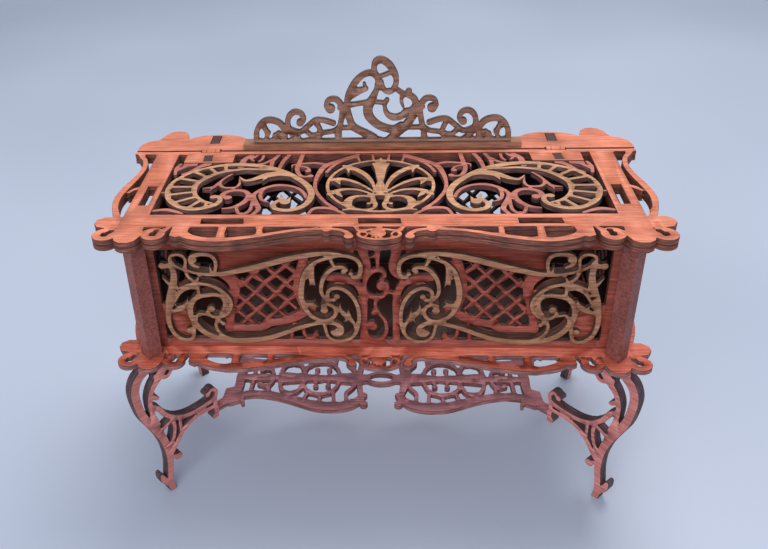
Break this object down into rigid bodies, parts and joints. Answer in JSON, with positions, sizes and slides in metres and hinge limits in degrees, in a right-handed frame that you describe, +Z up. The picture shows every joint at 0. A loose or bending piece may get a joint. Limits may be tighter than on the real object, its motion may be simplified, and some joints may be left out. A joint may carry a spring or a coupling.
{
  "type": "keepsake box",
  "caption": "Footed fretwork casket of thin plywood: hinged pierced lid, scroll overlays, corner posts, openwork legs, stretcher shelf and upright crest.",
  "frame": {"origin": "middle of the footprint, on the surface that the legs stand on", "axes": "+Z up, the front of the box faces -Y, +X to the right seen from the front"},
  "size_m": [0.304, 0.1448, 0.2435],
  "materials": {
    "red_ply": "satin red stain",
    "pale_red_ply": "satin salmon stain",
    "tan_ply": "matt ochre stain",
    "dark_ply": "charred",
    "pin_steel": "dull"
  },
  "bodies": {
    "box": {"base_plate": "red_ply", "rear_strip_lower": "red_ply", "rear_strip_upper": "pale_red_ply", "crest_plank": "tan_ply", "crest": "tan_ply", "shelf": "red_ply", "front_wall": "red_ply", "rear_wall": "red_ply", "left_wall": "red_ply", "right_wall": "red_ply", "front_overlay_left": "tan_ply", "front_overlay_right": "tan_ply", "left_overlay": "tan_ply", "right_overlay": "tan_ply", "strip_hinge_leaf_left": "dark_ply", "strip_hinge_leaf_right": "dark_ply", "hinge_pin_left": "pin_steel", "hinge_pin_right": "pin_steel", "post_front_left": "red_ply", "post_front_right": "red_ply", "post_rear_left": "red_ply", "post_rear_right": "red_ply", "leg_front_left": "red_ply", "leg_front_right": "red_ply", "leg_rear_left": "red_ply", "leg_rear_right": "red_ply"},
    "lid": {"lid_panel": "red_ply", "lid_frame": "pale_red_ply", "lid_rosette": "tan_ply", "lid_scroll_left": "tan_ply", "lid_scroll_right": "tan_ply", "lid_hinge_leaf_left": "dark_ply", "lid_hinge_leaf_right": "dark_ply"}
  },
  "joints": [
    {"name": "lid_hinge", "type": "hinge", "parent": "box", "child": "lid", "pos_m": [0, 0.04129, 0.1863], "axis": [-1, 0, 0], "range_deg": [0, 90]}
  ]
}
